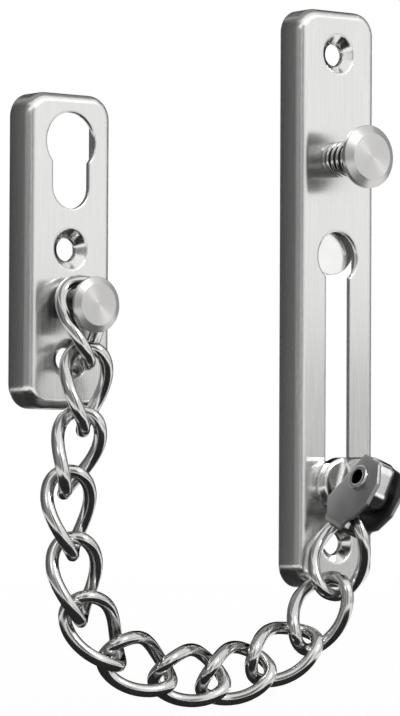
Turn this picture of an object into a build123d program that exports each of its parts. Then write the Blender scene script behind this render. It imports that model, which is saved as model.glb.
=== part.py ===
"""A door chain: a track plate with its slider and spring knob, an anchor plate with a stud, and a curb chain.

Z is up along the plates, their backs lie on Y = 0 and their fronts face -Y. X = 0 and Z = 0 are the middle of
the track plate.
"""
import os
from math import copysign, cos, pi, radians, sin, sqrt

from build123d import *

# drawn plates
plate_w = 25.4
plate_t = 8.3
sheet = 1.2
track_l = 150.0
anchor_l = 78.0
corner_r = 6.0
edge_r = 2.5

# countersunk screw holes, pressed into the sheet
screw_d = 5.8
sink_d = 10.3
sink_depth = 2.0
track_screw_z = 63.5

# anchor plate, placed from its own middle
anchor_x = -85.8
anchor_z = 8.4
anchor_screw_z = (0.4, -26.8)
park_d = 14.8
park_z = 26.9
park_slot_w = 11.0
park_slot_l = 11.0

# stud that the first link hangs on
stud_z = -13.7
stud_neck_d = 5.6
stud_neck_l = 10.2
stud_head_d = 13.7
stud_face_d = 10.4
stud_rim = 0.8
stud_chamfer = 0.9
tail_d = 4.0
peen_d = 7.0
peen_t = 1.0

# slot and entry hole of the track
slot_w = 8.0
entry_d = 13.2
entry_z = 10.7
slider_z = -48.3

# spring knob and the plate that it holds across the entry hole
knob_z = 36.0
knob_d = 16.2
knob_face_d = 12.0
knob_back = 11.2
knob_rim = 1.2
knob_chamfer = 1.3
stem_d = 5.8
block_w = 16.0
block_t = 1.2
block_top = 42.5
block_bottom = 6.3
block_gap = 1.75
spring_d = 9.4
spring_wire = 1.0
spring_turns = 6
spring_steps = 10

# slider
flange_d = 14.0
flange_t = 3.2
neck_d = 7.8
head_d = 12.4
head_t = 2.0
tongue_w = 5.0
tongue_h = 13.0
tongue_end = 4.4
tongue_corner = 4.0
pin_out = 14.1
slider_turn = 20.0

# shackle, a folded strip, and its hollow rivet; the arms are measured from the pin
strip = 1.1
shackle_gap = 7.4
shackle_l = 13.2
shackle_tilt = 20.0
bend_r = 1.2
arm_top = 6.0
arm_front = 7.8
arm_back = 7.8
arm_end_w = 7.5
arm_end_side = -1.4
web_w = 3.6
web_side = -1.2
rivet_d = 5.0
rivet_bore = 4.0
rivet_rim_d = 6.6
rivet_rim = 0.6

# chain of twisted links
wire_d = 3.3
link_inner_l = 17.3
link_inner_w = 9.4
link_twist = 90.0
link_steps = 16
wire_sides = 12
link_play = 1.5
# the slope of each link from hanging straight down, as it lies in the photograph
link_slopes = (2, -4, -16, 8, 10, 43, 72, 86, 104, 115, 148, 166)
# how far in front of the plates' backs the links meet, from the stud to the shackle
meet_out = (12.4, 14.8, 15.0, 14.4, 13.4, 13.0, 13.0, 13.0, 13.4, 14.0, 15.0, 15.8)
stud_links = 8
link_rolls = (17, 14, 12, 9, 6, 3, 1, -2, 4, 23, 32, 49)
link_drops = (0, 0.6, 0.85, 0.15, 0.8, 0, -0.1, 0.4, 0, -0.15, -0.2, 0)

# clearances
face_gap = 0.15
running_gap = 0.05
seat_gap = 0.02

os.makedirs("parts", exist_ok=True)

front = Plane.XZ.offset(plate_t)
track_face = front
anchor_face = Plane(origin=(anchor_x, -plate_t, anchor_z), x_dir=(1, 0, 0), z_dir=(0, -1, 0))


def drawn_shell(face, length):
    """A shallow box drawn from sheet, open at the back, with its front on the given plane."""
    with BuildSketch(face) as outline:
        RectangleRounded(plate_w, length, corner_r)
    extrude(outline.sketch, amount=-plate_t)
    fillet(faces().sort_by(Axis.Y)[0].edges(), edge_r)
    with BuildSketch(face.offset(-sheet)) as hollow:
        RectangleRounded(plate_w - 2 * sheet, length - 2 * sheet, corner_r - sheet)
    extrude(hollow.sketch, amount=sheet - plate_t, mode=Mode.SUBTRACT)


def screw_dimple(face, z):
    """A screw hole whose cone is pressed into the sheet."""
    spot = face.location * Location((0, z, 0))
    boss = spot * Location((0, 0, -sheet - sink_depth / 2))
    with Locations(boss):
        Cone(screw_d / 2 + sheet, sink_d / 2 + sheet, sink_depth)
    with Locations(spot * Location((0, 0, -sink_depth / 2))):
        Cone(screw_d / 2, sink_d / 2, sink_depth, mode=Mode.SUBTRACT)
    with Locations(spot):
        Cylinder(screw_d / 2, 3 * plate_t, mode=Mode.SUBTRACT)


with BuildPart() as anchor_plate:
    drawn_shell(anchor_face, anchor_l)
    for z in anchor_screw_z:
        screw_dimple(anchor_face, z)
    with BuildSketch(anchor_face):
        with Locations((0, park_z)):
            Circle(park_d / 2)
        with Locations((0, park_z - park_slot_l / 2)):
            SlotOverall(park_slot_l + park_slot_w, park_slot_w, rotation=90)
        with Locations((0, stud_z)):
            Circle(tail_d / 2 + seat_gap)
    extrude(amount=-2 * sheet, mode=Mode.SUBTRACT)

stud_plane = Plane(origin=(anchor_x, -plate_t, anchor_z + stud_z), x_dir=(1, 0, 0), z_dir=(0, 0, 1))
with BuildPart() as anchor_stud:
    with BuildSketch(stud_plane):
        with BuildLine():
            Polyline(
                (0, sheet + peen_t),
                (peen_d / 2, sheet + peen_t),
                (peen_d / 2, sheet),
                (tail_d / 2, sheet),
                (tail_d / 2, 0),
                (stud_neck_d / 2, 0),
                (stud_neck_d / 2, -stud_neck_l),
                (stud_head_d / 2, -stud_neck_l),
                (stud_head_d / 2, -stud_neck_l - stud_rim),
                (stud_face_d / 2, -stud_neck_l - stud_rim - stud_chamfer),
                (0, -stud_neck_l - stud_rim - stud_chamfer),
                close=True,
            )
        make_face()
    revolve(axis=Axis(stud_plane.origin, (0, 1, 0)))

with BuildPart() as track_plate:
    drawn_shell(track_face, track_l)
    for z in (track_screw_z, -track_screw_z):
        screw_dimple(track_face, z)
    slot_end = slider_z - (slot_w - neck_d) / 2
    with BuildSketch(track_face):
        with Locations((0, entry_z)):
            Circle(entry_d / 2)
        with Locations((0, (entry_z + slot_end) / 2)):
            SlotOverall(entry_z - slot_end + slot_w, slot_w, rotation=90)
        with Locations((0, knob_z)):
            Circle(stem_d / 2 + running_gap)
    extrude(amount=-2 * sheet, mode=Mode.SUBTRACT)

block_face = plate_t - sheet - block_gap
knob_plane = Plane(origin=(0, 0, knob_z), x_dir=(1, 0, 0), z_dir=(0, 0, 1))
knob_out = plate_t + knob_back
with BuildPart() as knob:
    with BuildSketch(knob_plane):
        with BuildLine():
            Polyline(
                (0, block_t + peen_t - block_face),
                (peen_d / 2, block_t + peen_t - block_face),
                (peen_d / 2, block_t - block_face),
                (tail_d / 2, block_t - block_face),
                (tail_d / 2, -block_face),
                (stem_d / 2, -block_face),
                (stem_d / 2, -knob_out),
                (knob_d / 2, -knob_out),
                (knob_d / 2, -knob_out - knob_rim),
                (knob_face_d / 2, -knob_out - knob_rim - knob_chamfer),
                (0, -knob_out - knob_rim - knob_chamfer),
                close=True,
            )
        make_face()
    revolve(axis=Axis(knob_plane.origin, (0, 1, 0)))

with BuildPart() as blocking_plate:
    with BuildSketch(Plane.XZ.offset(block_face)):
        with Locations((0, (block_top + block_bottom) / 2)):
            SlotOverall(block_top - block_bottom, block_w, rotation=90)
        with Locations((0, knob_z)):
            Circle(tail_d / 2 + seat_gap, mode=Mode.SUBTRACT)
    extrude(amount=-block_t)


def spring_point(step):
    """A point on the spring's wire; the pitch closes up to make a flat turn at each end."""
    angle = 2 * pi * step / spring_steps
    radius = (spring_d - spring_wire) / 2
    closed = spring_wire / (knob_back - 2 * face_gap - spring_wire)
    turn = step / spring_steps
    inner = (min(max(turn, 1), spring_turns - 1) - 1) / (spring_turns - 2)
    along = closed * (min(turn, 1) + max(turn - spring_turns + 1, 0)) + (1 - 2 * closed) * inner
    out = plate_t + face_gap + spring_wire / 2 + along * (knob_back - 2 * face_gap - spring_wire)
    return Vector(radius * cos(angle), -out, knob_z + radius * sin(angle))


with BuildPart() as knob_spring:
    coil = [spring_point(k) for k in range(spring_turns * spring_steps + 1)]
    with BuildLine() as coil_line:
        Polyline(*coil)
    with BuildSketch(Plane(origin=coil[0], z_dir=coil[1] - coil[0])):
        RegularPolygon(spring_wire / 2, 6)
    sweep(path=coil_line.wires()[0], transition=Transition.RIGHT)

pin_y = -plate_t - pin_out
with BuildPart() as slider_body:
    slider_face = track_face.offset(face_gap)
    with BuildSketch(slider_face):
        with Locations((0, slider_z)):
            Circle(flange_d / 2)
    extrude(amount=flange_t)
    with BuildSketch(slider_face):
        with Locations((0, slider_z)):
            Circle(neck_d / 2)
    extrude(amount=-sheet - 2 * face_gap)
    with BuildSketch(track_face.offset(-sheet - face_gap)):
        with Locations((0, slider_z)):
            Circle(head_d / 2)
    extrude(amount=-head_t)
    root_y = -plate_t - face_gap - flange_t
    front_y = pin_y - tongue_end
    with BuildSketch(Plane.YZ.offset(-tongue_w / 2)) as tongue:
        with Locations(((root_y + front_y) / 2, slider_z)):
            Rectangle(root_y - front_y, tongue_h)
        fillet(tongue.vertices().group_by(Axis.X)[0], tongue_corner)
    extrude(amount=tongue_w)
    with BuildSketch(Plane.YZ.offset(-tongue_w / 2)):
        with Locations((pin_y, slider_z)):
            Circle(rivet_d / 2 + seat_gap)
    extrude(amount=tongue_w, mode=Mode.SUBTRACT)

# the shackle's own plane: x along the pin, y down its arms, z across the strip
tilt = radians(shackle_tilt)
shackle_plane = Plane(
    origin=(0, pin_y, slider_z),
    x_dir=(1, 0, 0),
    z_dir=(0, -cos(tilt), -sin(tilt)),
)
half_out = shackle_gap / 2 + strip
arm_high = arm_front - 3.3
end_front = arm_end_side + arm_end_w / 2
end_back = arm_end_side - arm_end_w / 2
with BuildPart() as shackle:
    with BuildSketch(shackle_plane.offset(-arm_back)) as folded:
        with Locations((0, (arm_top - shackle_l - strip) / 2)):
            Rectangle(2 * half_out, shackle_l + strip + arm_top)
        fillet(folded.vertices().group_by(Axis.Y)[0], bend_r + strip)
    extrude(amount=arm_back + arm_front)
    with BuildSketch(shackle_plane.offset(-arm_back)) as inside:
        with Locations((0, (2 * arm_top - shackle_l) / 2)):
            Rectangle(shackle_gap, shackle_l + 2 * arm_top)
        fillet(inside.vertices().group_by(Axis.Y)[0], bend_r)
    extrude(amount=arm_back + arm_front, mode=Mode.SUBTRACT)
    side_plane = Plane(origin=shackle_plane.origin, x_dir=shackle_plane.z_dir, z_dir=(-1, 0, 0))
    with BuildSketch(side_plane.offset(-half_out)):
        with BuildLine():
            Polyline(
                (-2.3, arm_top),
                (arm_high, arm_top - 0.4),
                (arm_front, 1.2),
                (arm_front, -4.8),
                (end_front + 2.8, -shackle_l + 3.4),
                (end_front + 0.8, -shackle_l + 2.2),
                (end_front, -shackle_l - strip),
                (end_back, -shackle_l - strip),
                (end_back, -shackle_l + 1.4),
                (-arm_back, -shackle_l + 4.4),
                (-arm_back, -shackle_l + 5.2),
                close=True,
            )
        make_face()
    extrude(amount=2 * half_out, mode=Mode.INTERSECT)
    with BuildSketch(side_plane.offset(-shackle_gap / 2)):
        with Locations((web_side + web_w / 2 + arm_front / 2, -shackle_l)):
            Rectangle(arm_front, 2 * strip + bend_r)
        with Locations((web_side - web_w / 2 - arm_back / 2, -shackle_l)):
            Rectangle(arm_back, 2 * strip + bend_r)
    extrude(amount=shackle_gap, mode=Mode.SUBTRACT)
    with BuildSketch(side_plane.offset(-half_out)):
        Circle(rivet_d / 2 + running_gap)
    extrude(amount=2 * half_out, mode=Mode.SUBTRACT)

with BuildPart() as shackle_rivet:
    rivet_half = half_out + face_gap
    with BuildSketch(Plane(origin=(0, pin_y, slider_z))):
        with BuildLine():
            Polyline(
                (-rivet_half - rivet_rim, rivet_bore / 2),
                (-rivet_half - rivet_rim, rivet_rim_d / 2 - rivet_rim / 2),
                (-rivet_half - rivet_rim / 2, rivet_rim_d / 2),
                (-rivet_half, rivet_rim_d / 2),
                (-rivet_half, rivet_d / 2),
                (rivet_half, rivet_d / 2),
                (rivet_half, rivet_rim_d / 2),
                (rivet_half + rivet_rim / 2, rivet_rim_d / 2),
                (rivet_half + rivet_rim, rivet_rim_d / 2 - rivet_rim / 2),
                (rivet_half + rivet_rim, rivet_bore / 2),
                close=True,
            )
        make_face()
    revolve(axis=Axis((0, pin_y, slider_z), (1, 0, 0)))


def wire_point(k):
    """A corner of the link's bent wire, about the link's middle, with its top at +Z."""
    angle = 2 * pi * (k + 0.5) / link_steps
    half_l = (link_inner_l + wire_d) / 2
    half_w = (link_inner_w + wire_d) / 2
    z = half_l * cos(angle) / cos(pi / link_steps)
    x = half_w * copysign(abs(sin(angle)) ** 0.8, sin(angle))
    turn = -radians(link_twist / 2) * z / half_l
    return Vector(x * cos(turn), x * sin(turn), z)


corners = [wire_point(k) for k in range(link_steps // 2)]
link_top = Vector(0, 0, (link_inner_l + wire_d) / 2)
with BuildPart() as half_link:
    with BuildLine() as half_path:
        Polyline(link_top, *corners, -link_top)
    with BuildSketch(Plane(origin=link_top, x_dir=(0, 0, 1), z_dir=corners[0] - link_top)):
        RegularPolygon(wire_d / 2, wire_sides)
    sweep(path=half_path.wires()[0], transition=Transition.RIGHT)

with BuildPart() as link:
    add(half_link.part)
    add(half_link.part.rotate(Axis.Z, 180))


def next_meet(point, slope, out, side):
    """Where the next link meets this one, going down from the stud (side 1) or from the shackle (side -1)."""
    pitch = link_inner_l - link_play
    rise = -out - point.Y
    flat = side * sqrt(pitch**2 - rise**2)
    return Vector(point.X + flat * sin(radians(slope)), -out, point.Z - flat * cos(radians(slope)))


first_slope = radians(link_slopes[0])
neck_out = stud_neck_d / 2 + link_play / 2
stud_meet = Vector(
    anchor_x - neck_out * sin(first_slope),
    -meet_out[0],
    anchor_z + stud_z + neck_out * cos(first_slope),
)
fold_out = shackle_l - link_play / 2
fold_drop = fold_out * cos(tilt) + web_side * sin(tilt)
swing = radians(slider_turn)
shackle_meet = Vector(
    -fold_drop * sin(swing),
    pin_y + fold_out * sin(tilt) - web_side * cos(tilt),
    slider_z - fold_drop * cos(swing),
)

link_ends = []
upper = stud_meet
for n in range(stud_links):
    lower = next_meet(upper, link_slopes[n], meet_out[n + 1], 1)
    link_ends.append((upper, lower))
    upper = lower
shackle_ends = []
lower = shackle_meet
for n in reversed(range(stud_links, len(link_slopes))):
    upper = next_meet(lower, link_slopes[n], meet_out[n], -1)
    shackle_ends.insert(0, (upper, lower))
    lower = upper
link_ends += shackle_ends

pieces = {
    "anchor_plate": anchor_plate.part,
    "anchor_stud": anchor_stud.part,
    "track_plate": track_plate.part,
    "knob": knob.part,
    "knob_spring": knob_spring.part,
    "blocking_plate": blocking_plate.part,
}
# the slider and what hangs on it are turned together about the slider's neck
neck_turn = Pos(0, 0, slider_z) * Rotation(0, slider_turn, 0) * Pos(0, 0, -slider_z)
upright = {"slider_body": slider_body, "shackle": shackle, "shackle_rivet": shackle_rivet}
for name, source in upright.items():
    with BuildPart() as turned:
        add(source.part.moved(neck_turn))
    pieces[name] = turned.part
for name, piece in pieces.items():
    piece.label = name
    export_step(piece, f"parts/{name}.step")

for n, (upper, lower) in enumerate(link_ends):
    slope = radians(link_slopes[n])
    middle = (upper + lower) / 2 + (lower - upper).normalized() * link_drops[n]
    seat = Plane(origin=middle, x_dir=(cos(slope), 0, sin(slope)), z_dir=upper - lower)
    with BuildPart() as chain_link:
        add(link.part.moved(seat.location * Rotation(0, 0, link_rolls[n])))
    chain_link.part.label = f"chain_link_{n + 1:02d}"
    export_step(chain_link.part, f"parts/chain_link_{n + 1:02d}.step")
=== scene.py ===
"""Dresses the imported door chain: smooth links and spring, metal finishes, studio and camera. Metres."""

import math

import bmesh
import bpy
import numpy as np
from mathutils import Matrix, Vector


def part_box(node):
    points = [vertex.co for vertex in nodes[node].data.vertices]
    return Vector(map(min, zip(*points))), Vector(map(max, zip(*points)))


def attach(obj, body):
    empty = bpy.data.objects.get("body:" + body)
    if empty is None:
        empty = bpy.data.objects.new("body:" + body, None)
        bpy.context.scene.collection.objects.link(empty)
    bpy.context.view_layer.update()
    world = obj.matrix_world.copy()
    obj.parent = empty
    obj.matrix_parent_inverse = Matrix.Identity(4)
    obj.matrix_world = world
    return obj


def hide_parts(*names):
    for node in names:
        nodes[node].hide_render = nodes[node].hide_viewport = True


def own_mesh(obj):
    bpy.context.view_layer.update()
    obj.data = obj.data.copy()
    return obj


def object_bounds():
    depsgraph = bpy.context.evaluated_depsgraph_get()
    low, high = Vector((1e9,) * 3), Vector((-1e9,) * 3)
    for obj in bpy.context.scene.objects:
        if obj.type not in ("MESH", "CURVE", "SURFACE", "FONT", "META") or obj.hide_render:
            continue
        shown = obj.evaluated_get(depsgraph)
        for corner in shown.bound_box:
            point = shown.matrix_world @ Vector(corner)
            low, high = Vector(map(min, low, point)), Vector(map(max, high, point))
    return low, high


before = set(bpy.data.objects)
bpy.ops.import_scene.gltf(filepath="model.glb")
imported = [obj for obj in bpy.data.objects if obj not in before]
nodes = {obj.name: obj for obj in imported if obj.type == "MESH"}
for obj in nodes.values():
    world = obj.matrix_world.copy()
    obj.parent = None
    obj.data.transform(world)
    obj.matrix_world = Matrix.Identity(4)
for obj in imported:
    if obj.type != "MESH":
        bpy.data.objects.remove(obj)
cad_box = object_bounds()

# photograph and camera, fitted to the plates' corners and holes: angles in degrees, and AXIS_PIXEL is where
# the lens's axis meets the image, from its middle
IMAGE_HEIGHT = 716
FOCAL_PIXELS = 4097.0
AXIS_PIXEL = (0.34, 18.75)
CAMERA_AZIMUTH = -37.94
CAMERA_ELEVATION = -2.18
CAMERA_ROLL = 0.26
CAMERA_DISTANCE = 1.0446
CAMERA_TARGET = Vector((-0.03861, 0.0, -0.02118))
SENSOR_MM = 36.0
VIEW_DEPTH = 50.0

# screw dimples of the plates: x and z of their middles, and their polished radius with its soft border
TRACK_DIMPLES = ((0.0, 0.0635), (0.0, -0.0635))
ANCHOR_DIMPLES = ((-0.0858, 0.0088), (-0.0858, -0.0184))
DIMPLE_R = 0.0051
DIMPLE_BORDER = 0.0004

# outer walls of the plates: where they start inside the outline, and the painted shade that darkens them
# from front to back
WALL_START = 0.0009
WALL_FULL = 0.0001
WALL_FRONT_Y = -0.0065
WALL_BACK_Y = -0.0003
WALL_BACK_SHADE = 0.52

# turned heads: thickness, soft border of its back edge, and the painted shade behind it
KNOB_HEAD = 0.0025
STUD_HEAD = 0.0017
HEAD_BORDER = 0.0002
BEHIND_SHADE = 0.12

# rivet and shackle: the slider's turn gives the rivet's direction, and the painted shade in the rivet's
# bore and on the shackle's inner side ends between two distances from the rivet's axis and from its middle
SLIDER_TURN = math.radians(20.0)
RIVET_AXIS = (math.cos(SLIDER_TURN), 0.0, -math.sin(SLIDER_TURN))
BORE_R = (0.00204, 0.0021)
BORE_SHADE = 0.18
SHACKLE_INSIDE = (0.0038, 0.0040)
SHACKLE_INSIDE_SHADE = 0.25

# how far brushing and turning draw reflections out, and the turn that draws them across instead of along
BRUSHED = 0.85
TURNED = 0.7
QUARTER_TURN = 0.25

# relief of the finishes, radius to which shading softens edges, and the range that most noise lies in
RELIEF = 0.00002
PLATE_EDGE = 0.0009
HEAD_EDGE = 0.0003
SHACKLE_EDGE = 0.0007
BEVEL_SAMPLES = 8
NOISE_LOW = 0.3
NOISE_HIGH = 0.7

# polished finishes: dark and light colour, lowest and highest roughness, radius of softened edges
LINK_CHROME = ((0.6, 0.6, 0.595), (0.72, 0.72, 0.71), (0.12, 0.18), 0.0003)
SPRING_STEEL = ((0.55, 0.55, 0.54), (0.7, 0.7, 0.69), (0.08, 0.14), 0.0003)
BLOCKING_POLISH = ((0.88, 0.88, 0.87), (0.96, 0.96, 0.95), (0.12, 0.18), 0.0003)
SLIDER_POLISH = ((0.82, 0.82, 0.81), (0.92, 0.92, 0.91), (0.08, 0.16), 0.0018)
RIVET_POLISH = ((0.86, 0.86, 0.86), (0.95, 0.95, 0.95), (0.1, 0.18), 0.0004)

# knob spring, and the share of its wire that lies flat at each end
SPRING_TURNS = 6
SPRING_STEPS = 28
SPRING_WIRE = 0.0010
SPRING_FLAT = 0.08

# chain links
LINK_INNER_L = 0.0173
LINK_INNER_W = 0.0094
LINK_WIRE = 0.0033
LINK_TWIST = 90.0
LINK_SQUARENESS = 0.8
LINK_STEPS = 72
WIRE_SIDES = 18

# studio: the upright cards stand on a circle, and each has its start and end in degrees, its lowest and
# highest edge and its grey level, where 0 degrees is the front and 90 the right
STUDIO_R = 0.9
STUDIO_MIDDLE = Vector((-0.04, 0.0, -0.02))
CARD_LOW = -0.7
CARD_HIGH = 0.9
LENS_CARD_HIGH = 0.5
LOW_CARD_HIGH = 0.04
WALL_CARDS = {
    "back_card": (100, 178, CARD_LOW, CARD_HIGH, 0.004),
    "side_card": (-178, -112, CARD_LOW, CARD_HIGH, 0.125),
    "edge_card": (-112, -64, CARD_LOW, CARD_HIGH, 0.27),
    "lens_card_left": (-64, -46, CARD_LOW, LENS_CARD_HIGH, 0.18),
    "lens_card_right": (-38, -14, CARD_LOW, LENS_CARD_HIGH, 0.18),
    "right_card": (74, 92, CARD_LOW, CARD_HIGH, 0.01),
    "low_card": (8, 66, CARD_LOW, LOW_CARD_HIGH, 0.6),
}
ROOF_Z = 0.6
FLOOR_DROP = 0.05
FLOOR_REACH = 6.0
UNDER_CARD_RISE = 0.002


# helpers for nodes, whose owner is a material or the world


def add_node(owner, kind, **settings):
    """A node of that kind, with its properties set."""
    node = owner.node_tree.nodes.new(kind)
    for key, value in settings.items():
        setattr(node, key, value)
    return node


def link(owner, source, target):
    """Joins an output socket to an input socket."""
    owner.node_tree.links.new(source, target)


def feed(owner, value, target):
    """Sets an input socket to a number, or joins an output socket to it."""
    if isinstance(value, (int, float)):
        target.default_value = value
    else:
        link(owner, value, target)


def combine(owner, operation, first, second=0.0):
    """A math node on two sockets or numbers."""
    node = add_node(owner, "ShaderNodeMath", operation=operation)
    feed(owner, first, node.inputs[0])
    feed(owner, second, node.inputs[1])
    return node.outputs["Value"]


def vector_math(material, operation, vector, other=(0, 0, 0)):
    """A vector math node on a socket and a constant; gives its outputs."""
    node = add_node(material, "ShaderNodeVectorMath", operation=operation)
    node.inputs[1].default_value = other
    link(material, vector, node.inputs[0])
    return node.outputs


def split(material, vector):
    """The X, Y and Z outputs of a vector."""
    node = add_node(material, "ShaderNodeSeparateXYZ")
    link(material, vector, node.inputs["Vector"])
    return node.outputs


def part_place(material):
    """The shaded point's place in the part's frame, at rest."""
    return add_node(material, "ShaderNodeTexCoord").outputs["Object"]


def noise(material, vector, scale, detail, stretch=(1, 1, 1)):
    """Noise over the given coordinates, scaled along the axes first."""
    mapping = add_node(material, "ShaderNodeMapping")
    mapping.inputs["Scale"].default_value = stretch
    link(material, vector, mapping.inputs["Vector"])
    texture = add_node(material, "ShaderNodeTexNoise")
    texture.inputs["Scale"].default_value = scale
    texture.inputs["Detail"].default_value = detail
    link(material, mapping.outputs["Vector"], texture.inputs["Vector"])
    return texture.outputs["Fac"]


def spread(material, value, low, high, start=NOISE_LOW, end=NOISE_HIGH):
    """Maps a value from start..end to low..high."""
    ranged = add_node(material, "ShaderNodeMapRange")
    ranged.inputs["From Min"].default_value = start
    ranged.inputs["From Max"].default_value = end
    ranged.inputs["To Min"].default_value = low
    ranged.inputs["To Max"].default_value = high
    link(material, value, ranged.inputs["Value"])
    return ranged.outputs["Result"]


def shade(material, value, dark, light):
    """A metal colour that varies with a value from dark to light."""
    ramp = add_node(material, "ShaderNodeValToRGB")
    ramp.color_ramp.elements[0].position = NOISE_LOW
    ramp.color_ramp.elements[0].color = (*dark, 1)
    ramp.color_ramp.elements[1].position = NOISE_HIGH
    ramp.color_ramp.elements[1].color = (*light, 1)
    link(material, value, ramp.inputs["Fac"])
    return ramp.outputs["Color"]


def blend(material, first, second, share):
    """A share of one value and the rest of another."""
    main = combine(material, "MULTIPLY", first, share)
    rest = combine(material, "MULTIPLY", second, 1 - share)
    return combine(material, "ADD", main, rest)


def axis_distance(material, vector, middle):
    """Distance from a line along Y through the point with that x and z."""
    flat = vector_math(material, "MULTIPLY", vector, (1, 0, 1))["Vector"]
    return vector_math(material, "DISTANCE", flat, (middle[0], 0, middle[1]))["Value"]


def box_middle(node):
    """The middle of a CAD node's box."""
    return [(low + high) / 2 for low, high in zip(*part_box(node))]


# parts of a metal finish


def new_material(name):
    """A node material and its surface shader."""
    material = bpy.data.materials.new(name)
    material.use_nodes = True
    return material, material.node_tree.nodes["Principled BSDF"]


def metal(material, shader, colour, rough):
    """Makes the shader bare metal of that colour and roughness."""
    link(material, colour, shader.inputs["Base Color"])
    link(material, rough, shader.inputs["Roughness"])
    shader.inputs["Metallic"].default_value = 1.0


def scale_tone(material, shader, factor):
    """Multiplies the shader's colour by a value."""
    tone = add_node(material, "ShaderNodeVectorMath", operation="SCALE")
    link(material, shader.inputs["Base Color"].links[0].from_socket, tone.inputs["Vector"])
    link(material, factor, tone.inputs["Scale"])
    link(material, tone.outputs["Vector"], shader.inputs["Base Color"])


def bump(material, shader, height, strength, edge):
    """Small relief on the shader's normal, with the sharp edges softened to that radius."""
    softened = add_node(material, "ShaderNodeBevel", samples=BEVEL_SAMPLES)
    softened.inputs["Radius"].default_value = edge
    relief = add_node(material, "ShaderNodeBump")
    relief.inputs["Strength"].default_value = strength
    relief.inputs["Distance"].default_value = RELIEF
    link(material, height, relief.inputs["Height"])
    link(material, softened.outputs["Normal"], relief.inputs["Normal"])
    link(material, relief.outputs["Normal"], shader.inputs["Normal"])


def draw_out(material, shader, axis, amount, turn=0.0):
    """Draws reflections out along the circles about an axis, or across them with a quarter turn."""
    around = add_node(material, "ShaderNodeTangent", direction_type="RADIAL", axis=axis)
    link(material, around.outputs["Tangent"], shader.inputs["Tangent"])
    feed(material, amount, shader.inputs["Anisotropic"])
    shader.inputs["Anisotropic Rotation"].default_value = turn


def outside_dimples(material, place, dimples):
    """1 on a plate and 0 in its screw dimples."""
    outside = 1.0
    for middle in dimples:
        away = axis_distance(material, place, middle)
        clear = spread(material, away, 0.0, 1.0, DIMPLE_R - DIMPLE_BORDER, DIMPLE_R)
        outside = combine(material, "MULTIPLY", outside, clear)
    return outside


def painted_wall_shade(material, place, node):
    """1 on a plate's face, and less towards the back on its long outer walls, as painted shade."""
    low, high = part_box(node)
    half_width = (high[0] - low[0]) / 2
    axes = split(material, place)
    across = combine(material, "SUBTRACT", axes["X"], box_middle(node)[0])
    across = combine(material, "ABSOLUTE", across)
    face = spread(material, across, 1.0, 0.0, half_width - WALL_START, half_width - WALL_FULL)
    depth = spread(material, axes["Y"], 1.0, WALL_BACK_SHADE, WALL_FRONT_Y, WALL_BACK_Y)
    return combine(material, "MAXIMUM", face, depth)


def from_rivet(material, place):
    """The shaded point's offset from the rivet's middle."""
    return vector_math(material, "SUBTRACT", place, box_middle("shackle_rivet"))["Vector"]


# finishes


def brushed_plate(name, node, dimples):
    """Satin steel brushed along Z, with polished screw dimples and painted shade that darkens the walls
    towards the back.
    """
    material, shader = new_material(name)
    place = part_place(material)
    streaks = noise(material, place, scale=1.0, detail=4.0, stretch=(5200, 5200, 70))
    clouds = noise(material, place, scale=55.0, detail=2.0, stretch=(1, 1, 0.35))
    mixed = blend(material, streaks, clouds, share=0.7)
    outside = outside_dimples(material, place, dimples)
    polish = spread(material, outside, low=0.6, high=1.0, start=0.0, end=1.0)
    rough = combine(material, "MULTIPLY", spread(material, mixed, low=0.19, high=0.29), polish)
    colour = shade(material, mixed, dark=(0.73, 0.73, 0.72), light=(0.86, 0.86, 0.85))
    metal(material, shader, colour, rough)
    # painted shade: the outer walls' colour darkens towards the back
    scale_tone(material, shader, painted_wall_shade(material, place, node))
    draw_out(material, shader, "Z", combine(material, "MULTIPLY", outside, BRUSHED))
    bump(material, shader, streaks, strength=0.12, edge=PLATE_EDGE)
    return material


def turned_head(name, node, thickness):
    """Satin steel turned about the piece's own axis, with fine rings, and painted shade behind the head."""
    material, shader = new_material(name)
    middle = box_middle(node)
    place = part_place(material)
    texture = add_node(material, "ShaderNodeTexNoise", noise_dimensions="1D")
    texture.inputs["Scale"].default_value = 6500.0
    texture.inputs["Detail"].default_value = 3.0
    link(material, axis_distance(material, place, (middle[0], middle[2])), texture.inputs["W"])
    rings = texture.outputs["Fac"]
    clouds = noise(material, place, scale=160.0, detail=2.0)
    mixed = blend(material, rings, clouds, share=0.75)
    colour = shade(material, mixed, dark=(0.58, 0.575, 0.565), light=(0.69, 0.685, 0.675))
    metal(material, shader, colour, spread(material, mixed, low=0.28, high=0.40))
    # painted shade on the stem and the back of the head
    head_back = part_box(node)[0][1] + thickness
    depth = split(material, place)["Y"]
    tone = spread(material, depth, 1.0, BEHIND_SHADE, head_back - HEAD_BORDER, head_back)
    scale_tone(material, shader, tone)
    draw_out(material, shader, "Y", TURNED, QUARTER_TURN)
    bump(material, shader, rings, strength=0.1, edge=HEAD_EDGE)
    return material


def polished(name, dark, light, rough, edge):
    """Polished plated steel with faint tumbling marks."""
    material, shader = new_material(name)
    place = part_place(material)
    clouds = noise(material, place, scale=220.0, detail=3.0)
    marks = noise(material, place, scale=2600.0, detail=2.0)
    metal(material, shader, shade(material, clouds, dark, light), spread(material, clouds, *rough))
    bump(material, shader, marks, strength=0.04, edge=edge)
    return material


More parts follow.
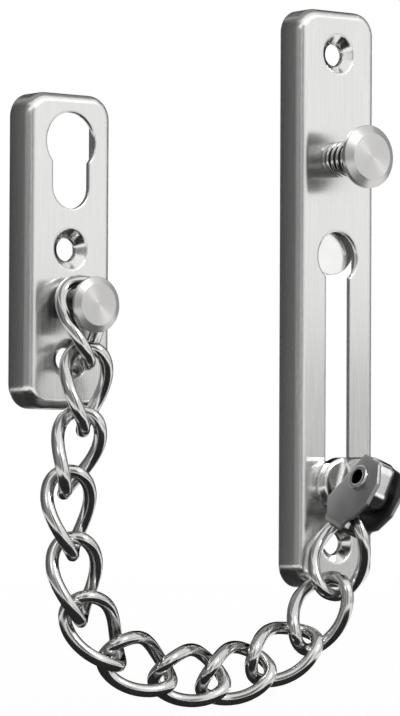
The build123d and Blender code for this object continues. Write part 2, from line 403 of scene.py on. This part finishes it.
def dark_satin(name):
    """Grey satin strip steel, as folded from a coil; painted shade darkens its inner side."""
    material, shader = new_material(name)
    place = part_place(material)
    grain = noise(material, place, scale=3200.0, detail=3.0)
    clouds = noise(material, place, scale=180.0, detail=2.0)
    mixed = blend(material, grain, clouds, share=0.5)
    colour = shade(material, mixed, dark=(0.44, 0.44, 0.44), light=(0.54, 0.54, 0.54))
    metal(material, shader, colour, spread(material, mixed, low=0.36, high=0.48))
    # painted shade on the shackle's inner side, between its arms
    along = vector_math(material, "DOT_PRODUCT", from_rivet(material, place), RIVET_AXIS)["Value"]
    side = combine(material, "ABSOLUTE", along)
    scale_tone(material, shader, spread(material, side, SHACKLE_INSIDE_SHADE, 1.0, *SHACKLE_INSIDE))
    bump(material, shader, grain, strength=0.08, edge=SHACKLE_EDGE)
    return material


def bored_rivet(name):
    """Polished steel, with painted shade inside the rivet's bore."""
    material = polished(name, *RIVET_POLISH)
    offset = from_rivet(material, part_place(material))
    across = vector_math(material, "CROSS_PRODUCT", offset, RIVET_AXIS)["Vector"]
    reach = vector_math(material, "LENGTH", across)["Value"]
    # painted shade inside the rivet's bore
    tone = spread(material, reach, BORE_SHADE, 1.0, *BORE_R)
    scale_tone(material, material.node_tree.nodes["Principled BSDF"], tone)
    return material


def paint(node, material):
    """Gives a CAD node one finish."""
    slots = nodes[node].data.materials
    slots.clear()
    slots.append(material)


# pieces that stand for faceted CAD nodes


def wire_piece(name, points, hubs, radius, closed):
    """A round wire along points; each ring starts on the side away from its hub."""
    body = bmesh.new()
    rings = []
    count = len(points)
    for place, point in enumerate(points):
        after = points[(place + 1) % count] if closed else points[min(place + 1, count - 1)]
        before = points[place - 1] if closed else points[max(place - 1, 0)]
        ahead = (after - before).normalized()
        away = point - hubs[place]
        out = (away - ahead * away.dot(ahead)).normalized()
        side = ahead.cross(out)
        ring = []
        for k in range(WIRE_SIDES):
            angle = 2 * math.pi * k / WIRE_SIDES
            turned = math.cos(angle) * out + math.sin(angle) * side
            ring.append(body.verts.new(point + radius * turned))
        rings.append(ring)
    pairs = list(zip(rings, rings[1:]))
    if closed:
        pairs.append((rings[-1], rings[0]))
    else:
        body.faces.new(rings[0])
        body.faces.new(reversed(rings[-1]))
    for first, second in pairs:
        for k in range(WIRE_SIDES):
            after = (k + 1) % WIRE_SIDES
            body.faces.new((first[k], first[after], second[after], second[k]))
    bmesh.ops.recalc_face_normals(body, faces=body.faces)
    mesh = bpy.data.meshes.new(name)
    body.to_mesh(mesh)
    body.free()
    mesh.polygons.foreach_set("use_smooth", [True] * len(mesh.polygons))
    piece = bpy.data.objects.new(name, mesh)
    bpy.context.collection.objects.link(piece)
    return piece


def link_axes(node):
    """A CAD link's middle, and its width, thickness and length directions, from its surface."""
    faces = nodes[node].data.polygons
    areas = np.array([face.area for face in faces])
    places = np.array([face.center for face in faces])
    middle = np.average(places, axis=0, weights=areas)
    directions = np.linalg.eigh(np.cov((places - middle).T, aweights=areas))[1]
    length = Vector(directions[:, 2])
    width = Vector(directions[:, 1])
    return Vector(middle), width, length.cross(width), length


def link_points(node):
    """The bent and twisted centre line of a link, and the link's middle as the hub of each point."""
    middle, width, thick, length = link_axes(node)
    half_l = (LINK_INNER_L + LINK_WIRE) / 2
    half_w = (LINK_INNER_W + LINK_WIRE) / 2
    points = []
    for step in range(LINK_STEPS):
        angle = 2 * math.pi * (step + 0.5) / LINK_STEPS
        along = half_l * math.cos(angle)
        across = half_w * math.copysign(abs(math.sin(angle)) ** LINK_SQUARENESS, math.sin(angle))
        twist = -math.radians(LINK_TWIST / 2) * along / half_l
        sideways = width * math.cos(twist) + thick * math.sin(twist)
        points.append(middle + length * along + across * sideways)
    return points, [middle] * LINK_STEPS


def spring_points(x, z, low, high):
    """The spring's helix about a line along Y, with flat ends, and the hub of each point on that line."""
    radius = (high[0] - low[0]) / 2 - SPRING_WIRE / 2
    start = low[1] + SPRING_WIRE / 2
    run = high[1] - low[1] - SPRING_WIRE
    steps = SPRING_TURNS * SPRING_STEPS
    points = []
    hubs = []
    for step in range(steps + 1):
        part = step / steps
        angle = 2 * math.pi * SPRING_TURNS * part
        rise = min(max((part - SPRING_FLAT) / (1 - 2 * SPRING_FLAT), 0), 1)
        hub = Vector((x, start + run * rise, z))
        hubs.append(hub)
        points.append(Vector((x + radius * math.cos(angle), hub.y, z + radius * math.sin(angle))))
    return points, hubs


chrome = polished("link_chrome", *LINK_CHROME)
for node in sorted(name for name in nodes if name.startswith("chain_link_")):
    points, hubs = link_points(node)
    wire = wire_piece(node + "_wire", points, hubs, LINK_WIRE / 2, closed=True)
    wire.data.materials.append(chrome)
    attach(wire, node)
    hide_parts(node)

spring_low, spring_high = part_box("knob_spring")
knob_middle = box_middle("knob")
spring_x = knob_middle[0]
spring_z = knob_middle[2]
points, hubs = spring_points(spring_x, spring_z, spring_low, spring_high)
spring = wire_piece("knob_spring_wire", points, hubs, SPRING_WIRE / 2, closed=False)
spring.data.materials.append(polished("spring_steel", *SPRING_STEEL))
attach(spring, "plates")
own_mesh(spring)
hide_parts("knob_spring")

# CAD nodes that stay
paint("track_plate", brushed_plate("track_brushed", "track_plate", TRACK_DIMPLES))
paint("anchor_plate", brushed_plate("anchor_brushed", "anchor_plate", ANCHOR_DIMPLES))
paint("blocking_plate", polished("blocking_polish", *BLOCKING_POLISH))
paint("knob", turned_head("knob_turned", "knob", KNOB_HEAD))
paint("anchor_stud", turned_head("stud_turned", "anchor_stud", STUD_HEAD))
paint("slider_body", polished("slider_polish", *SLIDER_POLISH))
paint("shackle", dark_satin("shackle_satin"))
paint("shackle_rivet", bored_rivet("rivet_polish"))


# studio


def emitter(name, level):
    """A plain grey that doesn't depend on the lamps."""
    material = bpy.data.materials.new(name)
    material.use_nodes = True
    material.node_tree.nodes.clear()
    glow = add_node(material, "ShaderNodeEmission")
    glow.inputs["Color"].default_value = (level, level, level, 1)
    out = add_node(material, "ShaderNodeOutputMaterial")
    link(material, glow.outputs["Emission"], out.inputs["Surface"])
    return material


def pale_floor():
    """Matt pale grey with a glow of its own, so that the floor is as light as the background."""
    material, shader = new_material("pale_floor")
    shader.inputs["Base Color"].default_value = (0.55, 0.55, 0.55, 1)
    shader.inputs["Roughness"].default_value = 0.9
    shader.inputs["Emission Color"].default_value = (1, 1, 1, 1)
    shader.inputs["Emission Strength"].default_value = 0.6
    return material


def flat_piece(name, corners, material):
    """One flat face of the studio."""
    mesh = bpy.data.meshes.new(name)
    mesh.from_pydata(corners, [], [tuple(range(len(corners)))])
    mesh.materials.append(material)
    piece = bpy.data.objects.new(name, mesh)
    bpy.context.collection.objects.link(piece)
    return piece


def card(name, corners, level):
    """A studio card that shows only in reflections."""
    piece = flat_piece(name, corners, emitter(name + "_tone", level))
    piece.visible_camera = False
    piece.visible_diffuse = False
    piece.visible_shadow = False


def wall_corners(start, end, low, high):
    """Corners of an upright card round the object."""
    corners = []
    for turn, height in ((start, low), (end, low), (end, high), (start, high)):
        angle = math.radians(turn)
        flat = Vector((math.sin(angle), -math.cos(angle), 0)) * STUDIO_R
        corners.append(STUDIO_MIDDLE + flat + Vector((0, 0, height)))
    return corners


def level_corners(left, right, front, back, height):
    """Corners of a level rectangle."""
    return [(left, front, height), (right, front, height), (right, back, height), (left, back, height)]


def lamp(name, place, size, power):
    """A square soft box that faces the object."""
    light = bpy.data.lights.new(name, "AREA")
    light.size = size
    light.energy = power
    holder = bpy.data.objects.new(name, light)
    holder.location = place
    holder.rotation_euler = (STUDIO_MIDDLE - Vector(place)).to_track_quat("-Z", "Y").to_euler()
    bpy.context.collection.objects.link(holder)


for name, (start, end, low, high, grey) in WALL_CARDS.items():
    card(name, wall_corners(start, end, low, high), grey)
ground = cad_box[0][2] - FLOOR_DROP
roof_corners = level_corners(left=-0.5, right=0.45, front=-0.15, back=0.6, height=ROOF_Z)
card("roof_card", roof_corners, level=0.3)
under_z = ground + UNDER_CARD_RISE
under_corners = level_corners(left=-0.35, right=0.12, front=-0.3, back=0.4, height=under_z)
card("under_card", under_corners, level=0.02)
floor_corners = level_corners(-FLOOR_REACH, FLOOR_REACH, -FLOOR_REACH, FLOOR_REACH, ground)
flat_piece("floor", floor_corners, pale_floor())
lamp("key_box", place=(0.15, -0.95, 0.62), size=0.24, power=3.0)
lamp("fill_box", place=(-0.85, -0.35, 0.35), size=0.35, power=0.6)

# background: white where it is seen or mirrored, and a softer grey as a light
world = bpy.data.worlds.new("studio")
bpy.context.scene.world = world
world.use_nodes = True
world.node_tree.nodes.clear()
rays = add_node(world, "ShaderNodeLightPath").outputs
seen = combine(world, "MAXIMUM", rays["Is Camera Ray"], rays["Is Glossy Ray"])
shown = combine(world, "MAXIMUM", seen, rays["Is Transmission Ray"])
soft = add_node(world, "ShaderNodeBackground")
soft.inputs["Color"].default_value = (0.6, 0.6, 0.6, 1)
white = add_node(world, "ShaderNodeBackground")
white.inputs["Color"].default_value = (1, 1, 1, 1)
choice = add_node(world, "ShaderNodeMixShader")
link(world, shown, choice.inputs["Fac"])
link(world, soft.outputs["Background"], choice.inputs[1])
link(world, white.outputs["Background"], choice.inputs[2])
world_out = add_node(world, "ShaderNodeOutputWorld")
link(world, choice.outputs["Shader"], world_out.inputs["Surface"])

# camera
turn = math.radians(CAMERA_AZIMUTH)
tilt = math.radians(CAMERA_ELEVATION)
lean = math.radians(CAMERA_ROLL)
back = Vector((math.sin(turn) * math.cos(tilt), -math.cos(turn) * math.cos(tilt), math.sin(tilt)))
level = Vector((math.cos(turn), math.sin(turn), 0))
upright = back.cross(level)
right = math.cos(lean) * level + math.sin(lean) * upright
above = math.cos(lean) * upright - math.sin(lean) * level
lens = bpy.data.cameras.new("camera")
lens.sensor_fit = "VERTICAL"
lens.sensor_height = SENSOR_MM
lens.lens = FOCAL_PIXELS / IMAGE_HEIGHT * SENSOR_MM
lens.shift_x = -AXIS_PIXEL[0] / IMAGE_HEIGHT
lens.shift_y = AXIS_PIXEL[1] / IMAGE_HEIGHT
lens.clip_end = VIEW_DEPTH
camera = bpy.data.objects.new("camera", lens)
facing = Matrix((right, above, back)).transposed().to_4x4()
camera.matrix_world = Matrix.Translation(CAMERA_TARGET + back * CAMERA_DISTANCE) @ facing
bpy.context.collection.objects.link(camera)
bpy.context.scene.camera = camera
bpy.context.scene.view_settings.view_transform = "Standard"
